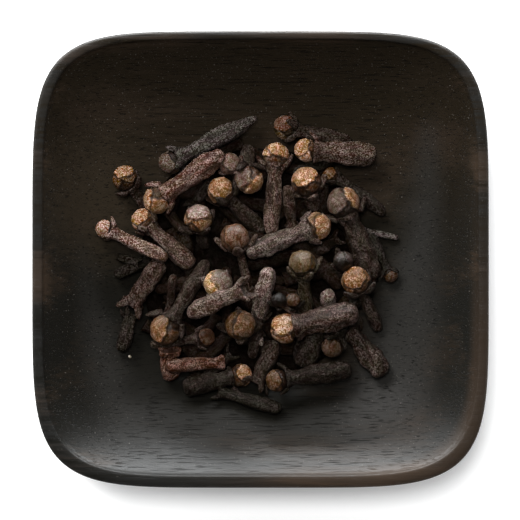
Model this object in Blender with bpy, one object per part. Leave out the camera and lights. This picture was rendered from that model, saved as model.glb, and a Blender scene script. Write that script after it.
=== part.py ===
"""A square dish of dark stained wood, heaped with whole cloves.

Units are metres and +Z is up. The origin is the middle of the dish's flat underside. The far side of
the dish, away from a person who looks down on it, is at +Y.

The dish is one solid. The heap is one solid too: a low core, and every clove that shows from above
fused to it, faceted but at its true size.
"""

import math
import random
from typing import NamedTuple

import bmesh
import bpy
import numpy as np
from mathutils import Vector

MM = 0.001

# The dish, and how its photograph from straight above is read
DISH_WIDTH = 82 * MM
PHOTO_DISH_WIDTH = 457
PHOTO_DISH_MIDDLE = (260.5, 259.5)
PIXEL = DISH_WIDTH / PHOTO_DISH_WIDTH

# The dish's section
RIM_HEIGHT = 19.5 * MM
RIM_WIDTH = 1.9 * MM
RIM_ROUNDING = 0.45 * MM
RIM_SHIFT = 0.4 * MM  # the rim is wider along the near side than along the far one
FLOOR_THICKNESS = 4.8 * MM
FOOT_WIDTH = 47 * MM
FOOT_ROUNDING = 0.8 * MM
WALL_CURVE = 2.9  # how late the inner wall rises: higher is flatter in the middle
FLARE_CURVE = 1.3  # the same for the outer wall, from the foot up to the rim
RIM_SQUARENESS = 5.4  # 2 is a circle, and higher is squarer
FOOT_SQUARENESS = 3.6
FLOOR_SQUARENESS = 2.0
DISH_SIDES = 64
CORNER_CROWDING = 0.45  # how much closer the sides lie at the four corners
INNER_RINGS = 10
OUTER_RINGS = 5
RING_SPREAD = 0.8  # below 1 the rings lie closer together towards the outside
SMOOTH_ANGLE = 40  # degrees between faces, above which an edge stays sharp
LEVEL_ROUNDS = 12  # enough for a level line's number to settle
SLOPE_STEP = 0.2 * MM

# The heap
HEAP_MIDDLE = (253, 262)
HEAP_REACH = (27.5 * MM, 28.0 * MM)
HEAP_SQUARENESS = 2.4
CORE_REACH = 0.84  # of the heap's own reach
CORE_RISE = 4.4 * MM  # the core's height over the floor at its middle
CORE_EDGE = 0.5 * MM  # and its thickness along its edge
SKIN_RISE = 11.0 * MM  # how high the middle of a standing bud is at the heap's middle
SKIN_EDGE = 3.6 * MM
DISH_GAP = 0.45 * MM  # from the dish to the core
LIFT_GAP = 0.6 * MM  # from the dish to the cloves, so that inside the core they don't meet its skin
PRESS = 0.35 * MM  # how far two cloves that touch are sunk into each other, so that they fuse
TOUCH = 1e-6 * MM  # closer than this counts as touching
CORE_SIDES = 20
CORE_RINGS = 4

# The cloves under those that show, which fill the gaps between them
FILLER_SEED = 11
FILLER_TRIES = 80
FILLER_RISE = 7.4 * MM  # none of them reaches higher than this over the floor, at the heap's middle
FILLER_EDGE = 1.4 * MM  # nor than this over the dish, along the heap's edge
FILLER_WIDTH = (13, 18)
FILLER_LENGTH = (50, 66)
FILLER_REACH = 0.8  # of the heap's own reach, for the whole of each of them

# A clove
CLOVE_LENGTH = 14.5 * MM  # of a standing one, unless it is trimmed to stay off the dish
CLOVE_LEAST = 5 * MM
CLOVE_TRIM = 0.2 * MM
BALANCE = 0.55  # where its weight is, from the end of the stem up to the bud
NECK = 0.62  # how much of the bud's radius stands clear of the calyx
STEM_SIDES = 8
FILLER_SIDES = 5
CALYX_FLARE = 1.1  # of the stem's half width
CALYX_CUP = 0.9  # of the bud's radius, where that is more
SEPAL_SPREAD = 1.28
SEPAL_NOTCH = 0.92
SEPAL_RISE = 0.3
STEM_END = 0.2
STEM_SHAPE = ((0.0, 0.50), (0.09, 0.83), (0.40, 1.0), (0.84, 0.84))
BUD_SHAPE = ((-0.08, 1.0), (0.40, 0.92), (0.80, 0.60))
FILLER_SHAPE = ((0.0, 0.7), (0.4, 1.0), (1.0, 0.9))
STEM_STATIONS = (0.03, 0.14, 0.27, 0.40, 0.53, 0.66, 0.80, 0.94)


class Clove(NamedTuple):
    """A clove as it shows from above, in pixels of the photograph."""

    head: tuple  # the middle of the bud, or of the calyx that lost it
    foot: tuple  # the other end of the stem, as far as it shows
    bud: float  # the bud's radius, 0 where it has fallen off
    stem: float  # the stem's width
    lean: float = 0.0  # degrees that a standing clove is tipped up by; below 0 its foot is on top


# From the bottom of the heap to its top, as each clove lies on those before it
CLOVES = (
    # Round the edge, on the dish
    Clove((146, 262), (113, 275), 0, 13),
    Clove((137, 263), (115, 256), 0, 10),
    Clove((129, 316), (120, 353), 0, 16),
    Clove((219, 394), (282, 411), 0, 15),
    Clove((261, 318), (252, 360), 0, 13),
    Clove((192, 205), (212, 180), 10, 14),
    Clove((318, 331), (301, 368), 0, 25),
    Clove((352, 333), (386, 376), 0, 20),
    Clove((362, 229), (400, 238), 0, 7.5),
    Clove((392, 275), (372, 233), 7.5, 11),
    Clove((204, 339), (149, 346), 10, 12),
    Clove((163, 367), (219, 362), 12, 11),
    Clove((229, 357), (203, 377), 0, 14),
    Clove((293, 226), (288, 186), 0, 14),
    Clove((352, 150), (294, 174), 0, 15),
    Clove((286, 125), (352, 141), 12, 16),
    Clove((332, 175), (387, 214), 8.5, 14),
    Clove((170, 161), (257, 116), 12, 21),
    Clove((333, 347), (348, 318), 11, 13, 15),
    Clove((336, 240), (318, 252), 0, 13),
    # Standing among the others
    Clove((229, 163), (241, 178), 10.5, 12, 60),
    Clove((344, 261), (340, 290), 10, 12, 65),
    Clove((330, 308), (328, 293), 0, 15, -60),
    Clove((279, 301), (283, 318), 8, 11, 55),
    Clove((293, 301), (297, 322), 8, 11, 50),
    Clove((169, 304), (173, 275), 0, 10, -50),
    Clove((218, 284), (226, 310), 13, 14, 55),
    Clove((240, 325), (247, 345), 15, 14, 65),
    Clove((198, 217), (206, 252), 14, 15, 55),
    Clove((249, 179), (246, 137), 14, 14.5, 38),
    Clove((235, 238), (247, 280), 14.4, 10, 32),
    Clove((308, 184), (316, 212), 15, 15, 50),
    Clove((303, 264), (306, 307), 13.9, 16, 32),
    Clove((261, 306), (269, 268), 0, 15, -30),
    # Lying over them
    Clove((124, 179), (150, 212), 12.8, 15),
    Clove((239, 376), (182, 389), 10.5, 21),
    Clove((278, 381), (352, 370), 10.5, 18),
    Clove((256, 384), (277, 342), 0, 17),
    Clove((142, 220), (192, 267), 11.7, 19),
    Clove((131, 305), (160, 261), 0, 17),
    Clove((104, 229), (167, 259), 9.5, 14),
    Clove((221, 190), (265, 231), 13, 16),
    Clove((276, 155), (271, 235), 13.3, 16.7),
    Clove((344, 203), (378, 279), 16, 22),
    Clove((156, 197), (223, 152), 12.8, 19),
    Clove((306, 149), (378, 154), 11.7, 22),
    Clove((318, 226), (246, 254), 13.3, 16),
    Clove((243, 290), (187, 315), 0, 17),
    Clove((165, 330), (207, 260), 14.5, 13.5),
    Clove((357, 281), (381, 331), 14.4, 14),
    Clove((285, 329), (359, 312), 14.5, 22),
)


def new_material(name, colour, roughness):
    material = bpy.data.materials.new(name)
    material.use_nodes = True
    shader = material.node_tree.nodes["Principled BSDF"]
    shader.inputs["Base Color"].default_value = (*colour, 1)
    shader.inputs["Roughness"].default_value = roughness
    shader.inputs["Metallic"].default_value = 0
    material.diffuse_color = (*colour, 1)
    return material


def new_collection(name):
    collection = bpy.data.collections.new(name)
    bpy.context.scene.collection.children.link(collection)
    return collection


def new_object(name, bm, collection, material):
    bmesh.ops.recalc_face_normals(bm, faces=bm.faces)
    mesh = bpy.data.meshes.new(name)
    bm.to_mesh(mesh)
    bm.free()
    obj = bpy.data.objects.new(name, mesh)
    obj.data.materials.append(material)
    collection.objects.link(obj)
    return obj


def loft(rings, bottom, top):
    """A closed solid through rings of equally many points, ending in a point at each end."""
    bm = bmesh.new()
    ends = [bm.verts.new(bottom), bm.verts.new(top)]
    loops = [[bm.verts.new(point) for point in ring] for ring in rings]
    sides = len(loops[0])
    for i in range(sides):
        j = (i + 1) % sides
        bm.faces.new((ends[0], loops[0][j], loops[0][i]))
        bm.faces.new((ends[1], loops[-1][i], loops[-1][j]))
        for low, high in zip(loops, loops[1:]):
            bm.faces.new((low[i], low[j], high[j], high[i]))
    bmesh.ops.triangulate(bm, faces=bm.faces)
    return bm


# The dish's form


def squareness(level):
    """How square a level line of the inner wall is, from the middle of the floor, 0, to the rim, 1."""
    return FLOOR_SQUARENESS + (RIM_SQUARENESS - FLOOR_SQUARENESS) * np.clip(level, 0, 1)


def square_ring(half_width, square, z, shift=0.0, sides=DISH_SIDES):
    """A rounded square of points at height z, crowded a little at its corners."""
    points = []
    for i in range(sides):
        turn = math.tau * i / sides
        angle = turn + CORNER_CROWDING / 4 * math.sin(4 * turn)
        across, along = math.cos(angle), math.sin(angle)
        radius = half_width / (abs(across) ** square + abs(along) ** square) ** (1 / square)
        points.append((radius * across, radius * along + shift, z))
    return points


def inner_half_width():
    return DISH_WIDTH / 2 - RIM_WIDTH


def inner_height(level):
    depth = RIM_HEIGHT - RIM_ROUNDING - FLOOR_THICKNESS
    return FLOOR_THICKNESS + depth * level**WALL_CURVE


def level_at(x, y):
    """Which level line of the inner wall passes through a place, from 0 in the middle to 1 at the rim."""
    across = np.abs(np.asarray(x, float)) / inner_half_width()
    along = np.abs(np.asarray(y, float) - RIM_SHIFT) / inner_half_width()
    level = np.hypot(across, along)
    for _ in range(LEVEL_ROUNDS):
        square = squareness(level)
        level = (across**square + along**square) ** (1 / square)
    return level


def dish_height(x, y):
    return inner_height(level_at(x, y))


def dish_slope(x, y):
    across = (dish_height(x + SLOPE_STEP, y) - dish_height(x - SLOPE_STEP, y)) / (2 * SLOPE_STEP)
    along = (dish_height(x, y + SLOPE_STEP) - dish_height(x, y - SLOPE_STEP)) / (2 * SLOPE_STEP)
    return np.hypot(across, along)


def make_dish(collection):
    wood = new_material("dish_wood", (0.012, 0.009, 0.007), 0.5)
    half, inner, foot = DISH_WIDTH / 2, inner_half_width(), FOOT_WIDTH / 2
    rings = [square_ring(foot - FOOT_ROUNDING, FOOT_SQUARENESS, 0)]
    for i in range(OUTER_RINGS + 1):
        out = i / OUTER_RINGS
        z = FOOT_ROUNDING + (RIM_HEIGHT - RIM_ROUNDING - FOOT_ROUNDING) * out**FLARE_CURVE
        square = FOOT_SQUARENESS + (RIM_SQUARENESS - FOOT_SQUARENESS) * out
        rings.append(square_ring(foot + (half - foot) * out, square, z))
    rings.append(square_ring(half - RIM_ROUNDING, RIM_SQUARENESS, RIM_HEIGHT))
    rings.append(square_ring(inner + RIM_ROUNDING, RIM_SQUARENESS, RIM_HEIGHT, RIM_SHIFT))
    for i in range(INNER_RINGS, 0, -1):
        level = (i / INNER_RINGS) ** RING_SPREAD
        ring = square_ring(inner * level, squareness(level), inner_height(level), RIM_SHIFT)
        rings.append(ring)
    bm = loft(rings, (0, 0, 0), (0, RIM_SHIFT, FLOOR_THICKNESS))
    dish = new_object("dish", bm, collection, wood)
    dish.data.shade_smooth()
    dish.data.set_sharp_from_angle(angle=math.radians(SMOOTH_ANGLE))
    return dish


# How the cloves lie


def photo_place(pixel):
    """A place in the photograph, as metres across and along the dish."""
    x = (pixel[0] - PHOTO_DISH_MIDDLE[0]) * PIXEL
    y = (PHOTO_DISH_MIDDLE[1] - pixel[1]) * PIXEL
    return np.array((x, y))


def heap_nearness(x, y, reach=1.0):
    """1 at the heap's middle and 0 at its outline, or at an outline drawn in to a share of its reach."""
    middle = photo_place(HEAP_MIDDLE)
    across = np.abs(x - middle[0]) / (HEAP_REACH[0] * reach)
    along = np.abs(y - middle[1]) / (HEAP_REACH[1] * reach)
    out = (across**HEAP_SQUARENESS + along**HEAP_SQUARENESS) ** (1 / HEAP_SQUARENESS)
    return np.clip(1 - out**2, 0, 1)


def above_dish(x, y, gap):
    return dish_height(x, y) + gap * np.sqrt(1 + dish_slope(x, y) ** 2)


def core_underside(x, y):
    return above_dish(x, y, DISH_GAP)


def core_top(x, y):
    """A low mound, on which the lowest cloves lie."""
    mound = FLOOR_THICKNESS + CORE_RISE * heap_nearness(x, y, CORE_REACH)
    return np.maximum(mound, core_underside(x, y) + CORE_EDGE)


def skin_height(x, y):
    """Where the middle of a bud comes that stands among the other cloves."""
    near = heap_nearness(x, y)
    return dish_height(x, y) + SKIN_EDGE + (SKIN_RISE - SKIN_EDGE) * near


def stations(clove):
    """Balls that stand for a clove: how far each is from foot (0) to head (1), and its radius."""
    thick = clove.stem * PIXEL / 2
    along = list(STEM_STATIONS)
    radii = [thick * np.interp(share, *zip(*STEM_SHAPE)) for share in STEM_STATIONS]
    if clove.bud:
        along.append(1.0)
        radii.append(clove.bud * PIXEL)
    return np.array(along), np.array(radii)


def lowest_heights(places, radii, laid):
    """The least height of each ball, for it to clear the dish, the core and the cloves laid before."""
    x, y = places.T
    least = above_dish(x, y, radii + DISH_GAP)
    over_core = heap_nearness(x, y, CORE_REACH) > 0
    least = np.where(over_core, np.maximum(least, core_top(x, y) + radii - PRESS), least)
    for centres, others in laid:
        apart = ((places[:, None, :] - centres[None, :, :2]) ** 2).sum(axis=2)
        reach = radii[:, None] + others[None, :] - PRESS
        over = np.where(apart < reach**2, np.sqrt(np.maximum(reach**2 - apart, 0)), -1)
        rest = np.where(over >= 0, centres[None, :, 2] + over, 0)
        least = np.maximum(least, rest.max(axis=1))
    return least


def resting_line(along, least):
    """Heights at the foot and the head of a clove that lies on whatever is highest under it.

    It touches on either side of its weight: the lowest straight line over all the least heights.
    """
    best = None
    for i, low in enumerate(along):
        for j in range(i + 1, len(along)):
            if not low <= BALANCE <= along[j]:
                continue
            slope = (least[j] - least[i]) / (along[j] - low)
            start = least[i] - slope * low
            if np.all(start + slope * along >= least - TOUCH):
                middle = start + slope * BALANCE
                if best is None or middle < best[0]:
                    best = (middle, start, start + slope)
    return best[1], best[2]


def lie(clove, laid):
    """Ends of a clove that lies on the dish, the core and the cloves laid before it."""
    along, radii = stations(clove)
    head, foot = photo_place(clove.head), photo_place(clove.foot)
    places = foot + (head - foot) * along[:, None]
    low, high = resting_line(along, lowest_heights(places, radii, laid))
    return np.array((*foot, low)), np.array((*head, high))


def stand(clove):
    """Ends of a clove that stands among the others, its stem going down between them."""
    head, foot = photo_place(clove.head), photo_place(clove.foot)
    top, under = (head, foot) if clove.lean > 0 else (foot, head)
    ahead = (under - top) / np.linalg.norm(under - top)
    lean = math.radians(abs(clove.lean))
    down = np.array((*(ahead * math.cos(lean)), -math.sin(lean)))
    high = np.array((*top, skin_height(*top)))
    length = CLOVE_LENGTH
    while length > CLOVE_LEAST:
        low = high + down * length
        if low[2] > dish_height(*low[:2]) + clove.stem * PIXEL:
            break
        length -= CLOVE_TRIM
    return (low, high) if clove.lean > 0 else (high, low)


def balls(clove, foot, head):
    along, radii = stations(clove)
    return foot + (head - foot) * along[:, None], radii


def fill():
    """The cloves under those that show: each lies where it falls, and is left out if it ends too high."""
    draw = random.Random(FILLER_SEED)
    laid, fillers = [], []
    for _ in range(FILLER_TRIES):
        reach = math.sqrt(draw.random()) * FILLER_REACH
        turn, heading = draw.uniform(0, math.tau), draw.uniform(0, math.tau)
        half = draw.uniform(*FILLER_LENGTH) / 2
        width = draw.uniform(*FILLER_WIDTH)
        x = HEAP_MIDDLE[0] + reach * HEAP_REACH[0] / PIXEL * math.cos(turn)
        y = HEAP_MIDDLE[1] + reach * HEAP_REACH[1] / PIXEL * math.sin(turn)
        across, along = half * math.cos(heading), half * math.sin(heading)
        clove = Clove((x + across, y + along), (x - across, y - along), 0, width)
        foot, head = lie(clove, laid)
        centres, radii = balls(clove, foot, head)
        x, y = centres[:, 0], centres[:, 1]
        ceiling = dish_height(x, y) + FILLER_EDGE
        ceiling += (FILLER_RISE - FILLER_EDGE) * heap_nearness(x, y)
        inside = heap_nearness(x, y, FILLER_REACH) > 0
        if np.all(inside) and np.all(centres[:, 2] + radii < ceiling):
            laid.append((centres, radii))
            fillers.append((clove, foot, head))
    return laid, fillers


def settle():
    """Every clove with its foot and head, found in turn from the bottom of the heap to its top."""
    laid, fillers = fill()
    shown = []
    for clove in CLOVES:
        foot, head = stand(clove) if clove.lean else lie(clove, laid)
        laid.append(balls(clove, foot, head))
        shown.append((clove, foot, head))
    return fillers, shown


# A clove's form


def lift_clear(bm):
    """Lifts whatever would reach into the dish, such as a sepal's point, to just over it."""
    points = np.array([vert.co for vert in bm.verts])
    least = above_dish(points[:, 0], points[:, 1], LIFT_GAP)
    for vert, z in zip(bm.verts, np.maximum(points[:, 2], least)):
        vert.co.z = z
    return bm


def rings_along(start, axis, sides, places):
    """Rings of points square to an axis, from (how far along, its radius or one radius a side) pairs."""
    across = axis.cross(Vector((0, 0, 1))).normalized()
    up = across.cross(axis)
    rings = []
    for at, radius in places:
        radii = [radius] * sides if isinstance(radius, float) else radius
        turns = [math.tau * (i + 0.5) / sides for i in range(sides)]
        spokes = [across * math.cos(turn) + up * math.sin(turn) for turn in turns]
        rings.append([start + axis * at + spoke * r for spoke, r in zip(spokes, radii)])
    return rings


def make_clove(clove, foot, head, collection, material):
    """A stem, its calyx with four sepals that stand out as points, and the bud unless it has gone."""
    start, axis = Vector(foot), Vector(head - foot).normalized()
    thick, bud = clove.stem * PIXEL / 2, clove.bud * PIXEL
    middle = (Vector(head) - start).length
    neck = middle - bud * NECK
    calyx = max(thick * CALYX_FLARE, bud * CALYX_CUP)
    points = [calyx * (SEPAL_SPREAD if i % 2 else SEPAL_NOTCH) for i in range(STEM_SIDES)]
    places = [(neck * share, thick * radius) for share, radius in STEM_SHAPE]
    places += [(neck, calyx), (neck + thick * SEPAL_RISE, points)]
    end = neck + thick * STEM_END
    if bud:
        places += [(middle + bud * share, bud * radius) for share, radius in BUD_SHAPE]
        end = middle + bud
    rings = rings_along(start, axis, STEM_SIDES, places)
    bm = loft(rings, start - axis * thick * STEM_END, start + axis * end)
    return new_object("clove", lift_clear(bm), collection, material)


def make_filler(clove, foot, head, collection, material):
    """A hidden clove, as its stem alone."""
    start, along = Vector(foot), Vector(head - foot)
    thick = clove.stem * PIXEL / 2
    places = [(along.length * share, thick * radius) for share, radius in FILLER_SHAPE]
    rings = rings_along(start, along.normalized(), FILLER_SIDES, places)
    end = along.normalized() * thick * STEM_END
    bm = loft(rings, start - end, start + along + end)
    return new_object("filler", lift_clear(bm), collection, material)


def heap_outline(turn, share):
    """A place on the heap's outline, drawn in to a share of its reach."""
    middle = photo_place(HEAP_MIDDLE)
    across, along = math.cos(turn), math.sin(turn)
    out = (abs(across) ** HEAP_SQUARENESS + abs(along) ** HEAP_SQUARENESS) ** (1 / HEAP_SQUARENESS)
    return middle + np.array((across, along)) * HEAP_REACH * share / out


def make_core(collection, material):
    """The hidden middle of the heap, over the dish's floor and under the cloves that show."""
    middle = photo_place(HEAP_MIDDLE)

    def ring(share, height):
        places = [heap_outline(math.tau * i / CORE_SIDES, share) for i in range(CORE_SIDES)]
        return [(x, y, float(height(x, y))) for x, y in places]

    shares = [CORE_REACH * (i / CORE_RINGS) ** RING_SPREAD for i in range(1, CORE_RINGS + 1)]
    rings = [ring(share, core_underside) for share in shares]
    rings += [ring(share, core_top) for share in reversed(shares)]
    low = (*middle, float(core_underside(*middle)))
    high = (*middle, float(core_top(*middle)))
    return new_object("core", loft(rings, low, high), collection, material)


def fuse(name, pieces, collection, material):
    """One solid of all the pieces, without any hollow that they seal or any scrap that hangs loose."""
    first, *others = pieces
    extras = new_collection(name + "_pieces")
    extras.hide_render = True
    for piece in others:
        collection.objects.unlink(piece)
        extras.objects.link(piece)
    union = first.modifiers.new("union", "BOOLEAN")
    union.operation = "UNION"
    union.operand_type = "COLLECTION"
    union.collection = extras
    union.solver = "MANIFOLD"
    bpy.context.view_layer.update()
    graph = bpy.context.evaluated_depsgraph_get()
    mesh = bpy.data.meshes.new_from_object(first.evaluated_get(graph))
    for piece in pieces:
        bpy.data.objects.remove(piece)
    bpy.data.collections.remove(extras)
    bm = bmesh.new()
    bm.from_mesh(mesh)
    bpy.data.meshes.remove(mesh)
    keep_outer_body(bm)
    return new_object(name, bm, collection, material)


def keep_outer_body(bm):
    """Deletes every shell but the one with the most faces."""
    bm.verts.ensure_lookup_table()
    left = set(bm.faces)
    shells = []
    while left:
        shell, front = set(), [left.pop()]
        while front:
            face = front.pop()
            shell.add(face)
            fresh = {other for edge in face.edges for other in edge.link_faces} & left
            left -= fresh
            front.extend(fresh)
        shells.append(shell)
    shells.sort(key=len)
    loose = [face for shell in shells[:-1] for face in shell]
    print("faces of each shell in the heap:", [len(shell) for shell in shells])
    bmesh.ops.delete(bm, geom=loose, context="FACES")
    bmesh.ops.delete(bm, geom=[v for v in bm.verts if not v.link_faces], context="VERTS")


def make_heap(collection):
    brown = new_material("clove_brown", (0.075, 0.038, 0.022), 0.65)
    pieces = [make_core(collection, brown)]
    fillers, shown = settle()
    for clove, foot, head in fillers:
        pieces.append(make_filler(clove, foot, head, collection, brown))
    for clove, foot, head in shown:
        pieces.append(make_clove(clove, foot, head, collection, brown))
    return fuse("cloves", pieces, collection, brown)


def main():
    for obj in list(bpy.data.objects):
        bpy.data.objects.remove(obj)
    collection = new_collection("bowl_of_cloves")
    make_dish(collection)
    make_heap(collection)


main()
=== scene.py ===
# %% [markdown]
# # A bowl of whole cloves
#
# A small square dish of dark stained wood holds a low heap of whole cloves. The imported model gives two
# plain solids, the dish and the heap. Here the dish gets a finer surface and its wood, and every clove
# of the heap is made for real, at the place where its plain solid lies.

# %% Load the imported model
import math
import random
from typing import NamedTuple

import bpy
import numpy as np
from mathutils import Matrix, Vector, noise


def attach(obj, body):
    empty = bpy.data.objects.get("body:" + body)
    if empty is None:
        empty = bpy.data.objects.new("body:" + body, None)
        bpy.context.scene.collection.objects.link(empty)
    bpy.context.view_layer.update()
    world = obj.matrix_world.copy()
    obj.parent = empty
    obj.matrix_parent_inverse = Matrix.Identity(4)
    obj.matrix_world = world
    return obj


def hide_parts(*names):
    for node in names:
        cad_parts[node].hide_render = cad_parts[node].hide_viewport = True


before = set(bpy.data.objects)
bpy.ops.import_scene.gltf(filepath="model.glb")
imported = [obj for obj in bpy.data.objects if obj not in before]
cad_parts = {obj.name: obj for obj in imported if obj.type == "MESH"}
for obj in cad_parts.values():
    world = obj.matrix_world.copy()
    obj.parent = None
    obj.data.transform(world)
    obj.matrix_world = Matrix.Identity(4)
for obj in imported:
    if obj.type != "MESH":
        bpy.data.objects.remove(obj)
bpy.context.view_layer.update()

# %% [markdown]
# ## The camera
#
# The dish is seen from straight above. A long lens far away shows a low dish almost without
# perspective, so a place in the photograph turns into a place on the dish by one scale and one shift.

# %% Camera
MM = 0.001
DISH_WIDTH = 82 * MM
RIM_HEIGHT = 19.5 * MM
PHOTO_DISH_WIDTH = 457
PHOTO_DISH_MIDDLE = (260.5, 259.5)
PHOTO_FRAME = 520
PIXEL = DISH_WIDTH / PHOTO_DISH_WIDTH
LENS = 300
SENSOR = 36


def photo_place(pixel):
    """A place in the photograph, as metres across and along the dish."""
    x = (pixel[0] - PHOTO_DISH_MIDDLE[0]) * PIXEL
    y = (PHOTO_DISH_MIDDLE[1] - pixel[1]) * PIXEL
    return np.array((x, y))


lens = bpy.data.cameras.new("above")
lens.lens = LENS
lens.sensor_width = SENSOR
camera = bpy.data.objects.new("above", lens)
distance = PHOTO_FRAME * PIXEL * LENS / SENSOR
camera.location = (*photo_place((PHOTO_FRAME / 2, PHOTO_FRAME / 2)), RIM_HEIGHT + distance)
bpy.context.scene.collection.objects.link(camera)
bpy.context.scene.camera = camera
print("camera height in mm:", round(camera.location.z / MM))

# %% [markdown]
# ## The light
#
# Dark wood shows hardly any colour of its own, so most of its look is what it reflects. A long low
# window beyond the far side makes the bright sheen on the near wall, and a dim, broad sky above it makes
# the grey that fades out over the floor. Two small lamps, one nearly overhead and one at the far left,
# model the cloves, and light from all round keeps the shadows faint. The lamps and the light from all
# round are kept out of reflections, or the dark wood would turn grey with them.

# %% Light
ROUND_LIGHT = 0.19
PANEL_DISTANCE = 1.3
WINDOW_TINT = (0.95, 0.98, 1.0)

scene = bpy.context.scene
scene.view_settings.view_transform = "Standard"
world = bpy.data.worlds.new("light_all_round")
world.use_nodes = True
world.node_tree.nodes["Background"].inputs["Color"].default_value = (1, 1, 1, 1)
world.node_tree.nodes["Background"].inputs["Strength"].default_value = ROUND_LIGHT
scene.world = world
world.cycles_visibility.glossy = False


def add_panel(name, brightness, size, elevation, turn=0.0, mirrored=True, tint=(1, 1, 1)):
    """A soft rectangular light that faces the middle of the dish."""
    light = bpy.data.lights.new(name, "AREA")
    light.color = tint
    light.shape = "RECTANGLE"
    light.size, light.size_y = size
    light.energy = brightness * math.pi * size[0] * size[1]
    panel = bpy.data.objects.new(name, light)
    rise, round_ = math.radians(elevation), math.radians(turn)
    level = math.cos(rise)
    ahead = Vector((level * math.sin(round_), level * math.cos(round_), math.sin(rise)))
    panel.location = ahead * PANEL_DISTANCE
    panel.rotation_euler = ahead.to_track_quat("Z", "Y").to_euler()
    panel.visible_glossy = mirrored
    scene.collection.objects.link(panel)
    print(name, "watts:", round(light.energy, 1))


add_panel("window", brightness=29, size=(3.0, 0.24), elevation=4.4, turn=-6, tint=WINDOW_TINT)
add_panel("sky", brightness=1.4, size=(2.4, 0.7), elevation=34, turn=-14)
add_panel("main", brightness=58, size=(0.25, 0.25), elevation=81.5, turn=-20, mirrored=False)
add_panel("left", brightness=24, size=(0.5, 0.5), elevation=46, turn=-30, mirrored=False)

# %% [markdown]
# ## Shader maths as sums
#
# A material's pattern is easier to read as a sum than as a string of nodes. The class below wraps a
# socket, so that 1 - mask or mask * 0.5 adds the Math node that works it out. A Math node would turn a
# colour grey, so colours and places go through mix and times, and any other node through add_node.


# %% Sockets in sums
class Wire:
    """A shader socket that takes part in sums."""

    def __init__(self, socket):
        self.socket, self.tree = socket, socket.id_data

    def maths(self, operation, first, second):
        return add_node(self.tree, "ShaderNodeMath", {"operation": operation}, {0: first, 1: second})

    def __add__(self, other):
        return self.maths("ADD", self, other)

    def __radd__(self, other):
        return self.maths("ADD", other, self)

    def __sub__(self, other):
        return self.maths("SUBTRACT", self, other)

    def __rsub__(self, other):
        return self.maths("SUBTRACT", other, self)

    def __mul__(self, other):
        return self.maths("MULTIPLY", self, other)

    def __rmul__(self, other):
        return self.maths("MULTIPLY", other, self)


print("a wire takes part in sums with + - *")


# %% Nodes
def feed(socket, value):
    """Links a wire to a socket, or sets the socket to a plain value."""
    if isinstance(value, Wire):
        socket.id_data.links.new(value.socket, socket)
    else:
        socket.default_value = value


def add_node(tree, kind, settings=None, values=None, output=0):
    """A node of a kind, with its settings made before its sockets are fed."""
    node = tree.nodes.new(kind)
    for name, setting in (settings or {}).items():
        setattr(node, name, setting)
    for name, value in (values or {}).items():
        feed(node.inputs[name], value)
    return Wire(node.outputs[output])


def mix(share, first, second):
    """A blend of two colours: the first where the share is 0, the second where it is 1."""
    values = {0: share, 6: first, 7: second}
    return add_node(share.tree, "ShaderNodeMix", {"data_type": "RGBA"}, values, 2)


def step_up(value, low, high):
    """0 below low and 1 above high, with a soft rise between them."""
    settings = {"interpolation_type": "SMOOTHSTEP"}
    values = {"Value": value, "From Min": low, "From Max": high}
    return add_node(value.tree, "ShaderNodeMapRange", settings, values)


def times(vector, factors):
    """A vector or a colour, each part multiplied by its own factor."""
    return add_node(vector.tree, "ShaderNodeVectorMath", {"operation": "MULTIPLY"}, {0: vector, 1: factors})


NOISE_MIDDLE = 0.5


def clouds(place, waves, detail, rough=0.5):
    """A noise pattern of about 0.2 to 0.8 round its middle, with its own count of waves along each axis."""
    values = {"Vector": times(place, waves), "Scale": 1.0, "Detail": detail, "Roughness": rough}
    return add_node(place.tree, "ShaderNodeTexNoise", None, values)


print("helpers for patterns: mix, step_up, times, clouds")


# %% Colours and finishes
def on_screen(red, green, blue):
    """A colour from 0 to 255 as a screen shows it, as the light that it stands for."""
    levels = [level / 255 for level in (red, green, blue)]
    linear = [v / 12.92 if v <= 0.04045 else ((v + 0.055) / 1.055) ** 2.4 for v in levels]
    return (*linear, 1.0)


def new_finish(name):
    """A material with its tree and its shader."""
    material = bpy.data.materials.new(name)
    material.use_nodes = True
    tree = material.node_tree
    return material, tree, tree.nodes["Principled BSDF"].inputs


print("on_screen(128, 128, 128) is", round(on_screen(128, 128, 128)[0], 3))

# %% [markdown]
# ## The floor
#
# The dish stands on a plain white sheet. A flat square does, with no seam in sight. It is a stage, not a
# part of the object. A faint glow of its own keeps it white where the soft light would leave it grey.

# %% Floor
FLOOR_SIZE = 4.0
FLOOR_WHITE = (0.9, 0.9, 0.9, 1)
FLOOR_GLOW = 0.25


def make_floor():
    half = FLOOR_SIZE / 2
    corners = [(-half, -half, 0), (half, -half, 0), (half, half, 0), (-half, half, 0)]
    mesh = bpy.data.meshes.new("floor")
    mesh.from_pydata(corners, [], [(0, 1, 2, 3)])
    floor = bpy.data.objects.new("floor", mesh)
    scene.collection.objects.link(floor)
    material, _, inputs = new_finish("white_sheet")
    feed(inputs["Base Color"], FLOOR_WHITE)
    feed(inputs["Roughness"], 1.0)
    feed(inputs["Specular IOR Level"], 0.0)
    feed(inputs["Emission Color"], (1, 1, 1, 1))
    feed(inputs["Emission Strength"], FLOOR_GLOW)
    mesh.materials.append(material)


make_floor()
print("floor:", FLOOR_SIZE, "m wide")

# %% [markdown]
# ## The dish
#
# The dish is one piece of wood: a rounded square with a narrow rim, an inner wall that rises late and
# steeply, and a flat foot. Each level line is a superellipse, a curve between a circle and a square, and
# a stack of such lines from the foot over the rim to the middle of the floor makes the whole surface.
# The same sizes made the plain solid, and here many more lines make it smooth.

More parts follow.
